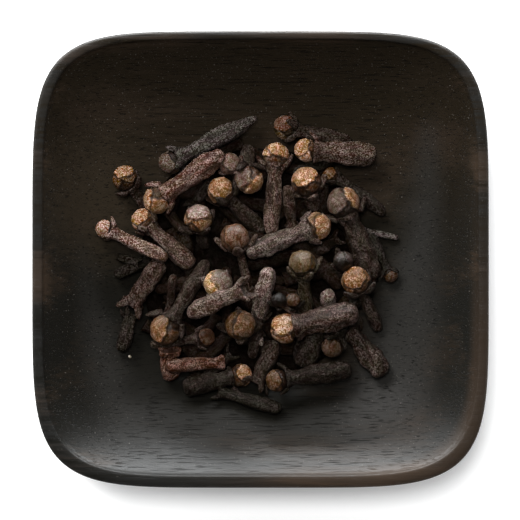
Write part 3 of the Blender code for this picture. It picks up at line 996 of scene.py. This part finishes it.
def make_stem(batch, lie_, tint, rows, sides, has_bud):
    """Adds a stem, closed under its bud or open as a cup without one."""
    turn = math.tau * np.arange(sides) / sides
    share = np.linspace(0, 1, rows) ** STEM_CROWDING
    radius = lie_.thick * np.interp(share, *zip(*STEM_PROFILE)) * (1 + lie_.taper * (1 - share) ** 3)
    flare = np.clip((share - FLARE_FROM) / FLARE_SPAN, 0, 1) ** FLARE_BEND
    radius = radius + (lie_.calyx - lie_.thick) * flare
    depths, shades = (LID_DEPTHS, LID_SHADES) if has_bud else (CUP_DEPTHS, CUP_SHADES)
    radius = np.concatenate((radius, lie_.calyx * np.array(TOP_RADII)))
    length = np.concatenate((share * lie_.neck, lie_.neck + lie_.calyx * np.array(depths)))
    ring = radius[:, None] * (1 + FOUR_SIDED * np.cos(4 * (turn - lie_.roll)))
    along = np.broadcast_to(length[:, None], ring.shape)
    local = np.stack((ring * np.cos(turn), ring * np.sin(turn), along), axis=-1)
    folds = rough_over(local * FOLD_SQUEEZE, FOLD_SIZE, lie_.offset)
    pebbles = rough_over(local * PEBBLE_SQUEEZE, PEBBLE_SIZE, lie_.offset + PEBBLE_SHIFT)
    lift = (FOLD_DEPTH * folds + PEBBLE_DEPTH * pebbles) * lie_.thick
    local[..., 0] += lift * np.cos(turn)
    local[..., 1] += lift * np.sin(turn)
    # Painted shade: in the folds of the wrinkles, and at the top of the stem, under the bud or in its empty
    # cup.
    top_shade = np.concatenate((np.zeros(rows), shades))
    fold_shade = np.clip(-folds * FOLD_SHADE, 0, FOLD_DARKEST) + top_shade[:, None]
    batch.add(to_world(lie_, local), local / MM + lie_.offset, tint, np.clip(fold_shade, 0, 1))


print("rings of a stem's top:", len(TOP_RADII))

# %% [markdown]
# ## Sepals
#
# Four thick pointed sepals stand out round the bud, and some are broken off short. A flat leaf would
# look like paper from the side, so each is a tapering tongue with a body: rings of eight points along a
# line that leaves the calyx outwards and then turns up along the bud.

# %% Sepals
SEPAL_RINGS = 8
SEPAL_SIDES = 8
SEPAL_LENGTH = 1.15
SEPAL_STUB = 0.25
SEPAL_SHAPE = ((0.0, 0.46), (0.4, 0.38), (0.8, 0.27), (0.94, 0.18), (1.0, 0.06))
SEPAL_THICKNESS = 0.22
SEPAL_SPREAD = (32, 62)
SEPAL_TURN = 0.02
SEPAL_UNEVEN = (0.75, 1.1)
SEPAL_CURL = 0.35
SEPAL_ROOT = (0.80, 0.25)
SEPAL_THINNING = 0.6
SEPAL_CUP = 0.25
SEPAL_BUMP_SIZE, SEPAL_BUMP_DEPTH, SEPAL_BUMP_SHIFT = 0.7, 0.03, 31
SEPAL_SHADE = 0.15


def make_sepals(batch, clove, lie_, tint, draw):
    """Adds the four sepals of a clove."""
    size = max(lie_.bud, lie_.calyx)
    turn = math.tau * np.arange(SEPAL_SIDES) / SEPAL_SIDES
    for i in range(4):
        round_ = lie_.roll + math.tau * (i / 4 + draw.uniform(-SEPAL_TURN, SEPAL_TURN))
        spread = math.radians(draw.uniform(*SEPAL_SPREAD))
        length = size * SEPAL_LENGTH * draw.uniform(*SEPAL_UNEVEN) * (SEPAL_STUB if i in clove.broken else 1)
        out = np.array((math.cos(round_), math.sin(round_), 0))
        side = np.array((-math.sin(round_), math.cos(round_), 0))
        share = np.linspace(0, 1, SEPAL_RINGS)
        tilt = spread * (1 - SEPAL_CURL * share)
        step = length / (SEPAL_RINGS - 1)
        spine = np.cumsum(np.stack((np.sin(tilt), np.cos(tilt)), axis=-1) * step, axis=0)
        spine += (lie_.calyx * SEPAL_ROOT[0], lie_.neck - lie_.calyx * SEPAL_ROOT[1])
        width = size * np.interp(share, *zip(*SEPAL_SHAPE))
        thickness = size * SEPAL_THICKNESS * (1 - SEPAL_THINNING * share**3)
        normal = np.stack((np.cos(tilt), -np.sin(tilt)), axis=-1)
        rings = []
        for at in range(SEPAL_RINGS):
            centre = out * spine[at, 0] + np.array((0, 0, spine[at, 1]))
            face = out * normal[at, 0] + np.array((0, 0, normal[at, 1]))
            wide = side * (width[at] * np.cos(turn))[:, None]
            cupped = thickness[at] * np.sin(turn) - width[at] * SEPAL_CUP * np.cos(turn) ** 2
            rings.append(centre + wide + face * cupped[:, None])
        local = np.array(rings)
        bumps = rough_over(local, SEPAL_BUMP_SIZE, lie_.offset + SEPAL_BUMP_SHIFT)
        local += bumps[..., None] * out * size * SEPAL_BUMP_DEPTH
        # Each sepal takes a little painted shade all over.
        batch.add(to_world(lie_, local), local / MM + lie_.offset, tint, SEPAL_SHADE)


print("points of a sepal:", SEPAL_RINGS * SEPAL_SIDES)

# %% [markdown]
# ## Buds
#
# The bud is a globe of four petals that overlap. Separate petals would need a gap between each two, but
# on a dried bud they are pressed together. So each is a round patch of one globe that stands up a little
# above those under it, and its edge shows as a step. Just inside the edge the petal is painted lighter
# as a highlight, and just outside it lies a dark line of painted shade. The largest petal covers the
# others like a cap.

# %% Petals
CAP_REACH = (50, 68)
PETAL_REACH = (54, 74)
PETAL_LEAN = (36, 60)
PETAL_TURN = 0.3
BUD_TIP, BUD_DEPTH = 0.02, 2.6


def petal_middles(clove, lie_, draw):
    """Where the middles of the four petals face, the cap first, in the clove's own directions."""
    middles = []
    for i in range(4):
        lean = math.radians(draw.uniform(*PETAL_LEAN))
        round_ = lie_.roll + math.tau * (i + 0.5) / 4 + draw.uniform(-PETAL_TURN, PETAL_TURN)
        flat = math.sin(lean)
        middles.append((flat * math.cos(round_), flat * math.sin(round_), math.cos(lean)))
    if clove.cap_at:
        turn, rise = (math.radians(angle) for angle in clove.cap_at)
        ahead = (math.cos(rise) * math.sin(turn), math.cos(rise) * math.cos(turn), math.sin(rise))
        middles[0] = [np.dot(ahead, own) for own in (lie_.across, lie_.up, lie_.axis)]
    return np.array(middles)


def globe_directions(rows, sides):
    """Directions from the middle of a bud, row by row from its calyx to its tip."""
    turn = math.tau * np.arange(sides) / sides
    polar = np.linspace(BUD_TIP, BUD_DEPTH, rows)[::-1, None]
    flat = np.sin(polar)
    along = np.broadcast_to(np.cos(polar), (rows, sides))
    return np.stack((flat * np.cos(turn), flat * np.sin(turn), along), axis=-1)


print("directions on a bud:", globe_directions(4, 6).shape)

# %% Buds
PETAL_STEP = 0.028
EDGE_WAVE_SIZE, EDGE_WAVE, EDGE_WAVE_SHIFT = 1.1, 14, 13
EDGE_WIDTH = 5.5
EDGE_SHADE, SHADE_PLACE = 0.85, 0.9
EDGE_HIGHLIGHT = 0.5
UNDER_PETALS = 0.4
PETAL_UNEVEN = (0.8, 1.12)
BUD_BASE = 0.94
BUMP_SIZE, BUMP_DEPTH, BUMP_SHIFT = 1.1, 0.05, 3
GRAIN_SIZE, GRAIN_DEPTH, GRAIN_SHIFT = 0.5, 0.025, 5
LINE_DEPTH = 0.02
LIT_FROM, LIT_SHARE = (-0.9, -0.2, 0.4, 1), (0.35, 0.7, 1.0, 1.1)
TUCK_FROM, TUCK_SPAN, TUCK_SHADE = 0.45, 0.4, 0.8


def make_bud(batch, clove, lie_, tint, cap_tint, draw, rows, sides):
    """Adds a bud, petal by petal from the lowest to the cap."""
    facing = globe_directions(rows, sides)
    wave = rough_over(facing * lie_.bud, EDGE_WAVE_SIZE, lie_.offset + EDGE_WAVE_SHIFT) * EDGE_WAVE
    level, fold_shade = np.zeros(wave.shape), np.zeros(wave.shape)
    colour = np.broadcast_to(np.array(tint) * UNDER_PETALS, (*wave.shape, 4))
    middles = petal_middles(clove, lie_, draw)
    for i in (3, 2, 1, 0):
        reach = draw.uniform(*(PETAL_REACH if i else CAP_REACH))
        beyond = np.degrees(np.arccos(np.clip(facing @ middles[i], -1, 1))) + wave - reach
        inside = np.clip(0.5 - beyond / EDGE_WIDTH, 0, 1)
        # A painted highlight just inside the petal's edge, and a line of painted shade just outside it.
        painted_highlight = 1 + EDGE_HIGHLIGHT * np.exp(-((beyond / EDGE_WIDTH + 1) ** 2))
        petal = np.array(tint if i else cap_tint) * draw.uniform(*PETAL_UNEVEN) * painted_highlight[..., None]
        line = np.exp(-((beyond / EDGE_WIDTH - SHADE_PLACE) ** 2))
        level = np.maximum(level, PETAL_STEP * (4 - i) * inside)
        colour = colour * (1 - inside[..., None]) + petal * inside[..., None]
        fold_shade = np.maximum(fold_shade * (1 - inside), EDGE_SHADE * line)
    bumps = rough_over(facing * lie_.bud, BUMP_SIZE, lie_.offset + BUMP_SHIFT)
    grains = rough_over(facing * lie_.bud, GRAIN_SIZE, lie_.offset + GRAIN_SHIFT)
    shape = BUD_BASE + level + BUMP_DEPTH * bumps + GRAIN_DEPTH * grains - LINE_DEPTH * fold_shade
    local = facing * (shape * lie_.bud)[..., None]
    local[..., 2] += lie_.middle
    along = facing[..., 2:]
    # Painted light and shade: the bud is lighter towards its tip, darker towards the calyx, and darkest
    # where tucked into it.
    colour = colour * np.interp(along, LIT_FROM, LIT_SHARE)
    tucked = np.clip((-along[..., 0] - TUCK_FROM) / TUCK_SPAN, 0, 1) * TUCK_SHADE
    batch.add(to_world(lie_, local), local / MM + lie_.offset, colour, np.maximum(fold_shade, tucked))


print("step at a petal's edge, as a share of the bud's radius:", PETAL_STEP)

# %% [markdown]
# ## The skin of the cloves
#
# Dried cloves are pebbled all over: small cells with dark pits between them, whose darkness is partly
# painted shade, and a few cells painted so light that they stand for glints, as painted highlights.
# Displacing a mesh that finely would take millions of points, so this is colour and a Bump node. A
# Voronoi pattern gives the cells, and noise makes them uneven. The pattern follows each clove's own
# directions, so that it is drawn out a little along the stem. The tint leans to purple in some places and
# to olive in others, and painted shade turns what lies in folds, hollows and petal seams nearly black.

# %% Skin finishes
CREASE_SHADE = on_screen(12, 7, 5)
PURPLE_CAST = (1.10, 0.97, 1.0, 1)
OLIVE_CAST = (0.90, 1.0, 0.82, 1)
PITCH = 0.25
UNEVEN_WAVES = (0.8, 0.8, 0.5)
STREAK_WAVES = (1.5, 1.5, 0.4)
FINE_WAVES = (8.5, 8.5, 6.5)
CELL_WAVES = (1 / PITCH, 1 / PITCH, 0.8 / PITCH)
CAST_STEP = (0.38, 0.62)
CELL_START, CELL_DIP, CELL_FINE, CELL_UNEVEN = 0.8, 1.4, 0.8, 0.5
PEBBLE_LEVEL = (0.32, 0.72)
GLINT_PEBBLE, GLINT_UNEVEN = 0.3, 0.35
GLINT_LEVEL = (0.86, 1.12)
PEBBLE_RELIEF, FINE_RELIEF = 0.6, 0.7
BLOTCH_STEP = (0.28, 0.56)
BLOTCH_SHARE, BLOTCH_DARK = 0.5, 0.3
DARK_STRENGTH, LIGHT_STRENGTH, GLINT_STRENGTH = 1.5, 1.05, 0.5


def shade(colour, value, saturation=1.0):
    """A colour made lighter or darker, and greyer or stronger."""
    values = {"Color": colour, "Value": value, "Saturation": saturation}
    return add_node(colour.tree, "ShaderNodeHueSaturation", None, values)


def make_skin(name, dark, light, glint, bump, rough, shine):
    """A pebbled skin, with how dark and how light it gets beside its tint, and its relief in mm."""
    material, tree, inputs = new_finish(name)
    place = add_node(tree, "ShaderNodeAttribute", {"attribute_name": "place"}, output=1)
    tint = add_node(tree, "ShaderNodeAttribute", {"attribute_name": "tint"})
    fold_shade = add_node(tree, "ShaderNodeAttribute", {"attribute_name": "fold_shade"}, output=2)
    uneven = clouds(place, UNEVEN_WAVES, detail=2.0)
    streaks = clouds(place, STREAK_WAVES, detail=2.0)
    fine = clouds(place, FINE_WAVES, detail=1.0, rough=0.6)
    cast = mix(step_up(streaks, *CAST_STEP), OLIVE_CAST, PURPLE_CAST)
    own = times(tint, cast)
    values = {"Vector": times(place, CELL_WAVES), "Scale": 1.0}
    cells = add_node(tree, "ShaderNodeTexVoronoi", {"feature": "F1"}, values)
    level = CELL_START - cells * CELL_DIP + fine * CELL_FINE
    pebble = step_up(level + (uneven - NOISE_MIDDLE) * CELL_UNEVEN, *PEBBLE_LEVEL)
    # The pits are darker partly as painted shade.
    pits, tops = shade(own, dark, DARK_STRENGTH), shade(own, light, LIGHT_STRENGTH)
    colour = mix(pebble, pits, tops)
    # Painted highlights: the few lightest cells stand for glints.
    painted_highlight = step_up(pebble * GLINT_PEBBLE + fine + uneven * GLINT_UNEVEN, *GLINT_LEVEL)
    colour = mix(painted_highlight, colour, shade(own, glint, GLINT_STRENGTH))
    blotch = 1 - step_up(uneven, *BLOTCH_STEP)
    colour = mix(blotch * BLOTCH_SHARE, colour, shade(own, BLOTCH_DARK))
    # Painted shade: points in folds, hollow tops and petal seams go towards near black.
    colour = mix(fold_shade, colour, CREASE_SHADE)
    feed(inputs["Base Color"], colour)
    feed(inputs["Roughness"], rough)
    feed(inputs["Specular IOR Level"], shine)
    height = pebble * PEBBLE_RELIEF + fine * FINE_RELIEF
    values = {"Height": height, "Strength": 1.0, "Distance": bump * MM}
    feed(inputs["Normal"], add_node(tree, "ShaderNodeBump", None, values))
    return material


stem_skin = make_skin("clove_stem_skin", dark=0.24, light=1.12, glint=2.2, bump=0.06, rough=0.6, shine=0.3)
bud_skin = make_skin("clove_bud_skin", dark=0.48, light=1.13, glint=1.7, bump=0.05, rough=0.35, shine=0.6)
deep_skin = make_skin("deep_clove_skin", dark=0.5, light=1.4, glint=2.0, bump=0.05, rough=0.8, shine=0.1)
print("skins:", stem_skin.name, bud_skin.name, deep_skin.name)

# %% [markdown]
# ## The heap
#
# Stems, sepals and buds are each one mesh for the whole heap, because each kind has one finish and they
# move together. They take the place of the plain heap. Each clove draws its own noise, its sepals and a
# small change of its tint, always in the same order, so that every run makes the same heap.

# %% Stems, sepals and buds of the heap
LOOK_SEED = 5
STEM_ROWS = 42
STEM_AROUND = 34
BUD_ROWS = 42
BUD_AROUND = 60
TINT_UNEVEN = 0.05

stems, sepals, buds = Batch(), Batch(), Batch()
draw = random.Random(LOOK_SEED)


def varied(tint, share):
    """A tint that is a little lighter or darker than its kind."""
    factor = draw.uniform(1 - share, 1 + share)
    return (tint[0] * factor, tint[1] * factor, tint[2] * factor, 1.0)


for clove, foot, head in shown:
    lie_ = measure(clove, foot, head, draw)
    skin, globe = (varied(tint, TINT_UNEVEN) for tint in (SKINS[clove.skin], GLOBES[clove.globe]))
    make_stem(stems, lie_, skin, STEM_ROWS, STEM_AROUND, bool(clove.bud))
    make_sepals(sepals, clove, lie_, skin, draw)
    if clove.bud:
        cap = varied(GLOBES[clove.cap], TINT_UNEVEN) if clove.cap else globe
        make_bud(buds, clove, lie_, globe, cap, draw, BUD_ROWS, BUD_AROUND)

stem_piece = stems.build("clove_stems", stem_skin, "clove")
sepals.build("clove_sepals", stem_skin, "clove")
buds.build("clove_buds", bud_skin, "clove")
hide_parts("cloves")

# %% [markdown]
# Between the cloves that show, others lie deep in the shade. They are the ones that the rule dropped
# first and a second lot like them. They need no buds or sepals and fewer points.

# %% The cloves in the gaps
# Their tint, darker than that of any clove that shows, is painted shade.
DEEP_SHADE_TINT = on_screen(25, 18, 14)
DEEP_UNEVEN = 0.3
DEEP_ROWS = 20
DEEP_AROUND = 16
EXTRA_SEED = 29
EXTRA_TRIES = 90

deep = Batch()
_, extras = fill(EXTRA_SEED, EXTRA_TRIES)
for clove, foot, head in fillers + extras:
    lie_ = measure(clove, foot, head, draw)
    make_stem(deep, lie_, varied(DEEP_SHADE_TINT, DEEP_UNEVEN), DEEP_ROWS, DEEP_AROUND, False)
deep.build("deep_cloves", deep_skin, "clove")
print("deep cloves:", len(fillers + extras))

# %% [markdown]
# Under them all a low mound closes the last gaps. It is lumpy, and its nearly black colour is painted
# shade, so that what little shows of it reads as cloves in the dark.

# %% The core
CORE_SIDES = 96
CORE_ROWS = 24
CORE_INNER, CORE_SHARE = 0.01, 0.74
CORE_SINK = 0.3 * MM
LUMP_SIZE, LUMP_DEPTH = 1.6, 0.5 * MM
CORE_LEAST = 0.1 * MM
# Painted shade: the mound is nearly black.
CORE_SHADE_TINT = on_screen(12, 8, 6)


def core_rings():
    """Rings of the mound, from under its middle out to its edge and back over its top."""
    middle = photo_place(HEAP_MIDDLE)
    turn = math.tau * np.arange(CORE_SIDES) / CORE_SIDES
    across, along = np.cos(turn), np.sin(turn)
    out = (np.abs(across) ** HEAP_SQUARENESS + np.abs(along) ** HEAP_SQUARENESS) ** (1 / HEAP_SQUARENESS)
    rings = []
    for share in np.linspace(CORE_INNER, CORE_SHARE, CORE_ROWS):
        x = middle[0] + across * HEAP_REACH[0] * share / out
        y = middle[1] + along * HEAP_REACH[1] * share / out
        rings.append(np.stack((x, y, core_top(x, y) - CORE_SINK), axis=-1))
    low = [ring.copy() for ring in rings]
    for ring in low:
        ring[:, 2] = above_dish(ring[:, 0], ring[:, 1], DISH_GAP)
    top = np.array(rings[::-1])
    top[..., 2] += rough_over(top, LUMP_SIZE, np.zeros(3)) * LUMP_DEPTH
    least = above_dish(top[..., 0], top[..., 1], DISH_GAP + CORE_LEAST)
    top[..., 2] = np.maximum(top[..., 2], least)
    return np.concatenate((np.array(low), top))


core = Batch()
core.add(core_rings(), tint=CORE_SHADE_TINT)
core.build("heap_core", deep_skin, "clove")

# %% [markdown]
# ## The crumb
#
# One tiny pale crumb of clove lies on the wood, left of the heap. It is a small ball with lumps.

# %% Crumb
CRUMB_PLACE = (128, 358)
CRUMB_RADIUS = 0.3 * MM
CRUMB_RINGS, CRUMB_SIDES = 7, 10
CRUMB_END = 0.1
CRUMB_RISE = 0.9
CRUMB_LUMP_SIZE, CRUMB_LUMPS, CRUMB_NOISE = 0.8, 0.35, 4.2
CRUMB_TINT = on_screen(190, 176, 160)


def crumb_rings():
    x, y = photo_place(CRUMB_PLACE)
    turn = math.tau * np.arange(CRUMB_SIDES) / CRUMB_SIDES
    polar = np.linspace(CRUMB_END, math.pi - CRUMB_END, CRUMB_RINGS)[::-1, None]
    middle = np.array((x, y, float(dish_height(x, y)) + CRUMB_RADIUS * CRUMB_RISE))
    flat = np.sin(polar)
    ball = np.stack((flat * np.cos(turn), flat * np.sin(turn), np.cos(polar) + 0 * turn), axis=-1)
    lumps = 1 + CRUMB_LUMPS * rough_over(ball * MM, CRUMB_LUMP_SIZE, np.full(3, CRUMB_NOISE))
    return middle + ball * lumps[..., None] * CRUMB_RADIUS


crumb = Batch()
crumb.add(crumb_rings(), tint=CRUMB_TINT)
crumb.build("crumb", bud_skin, "clove")
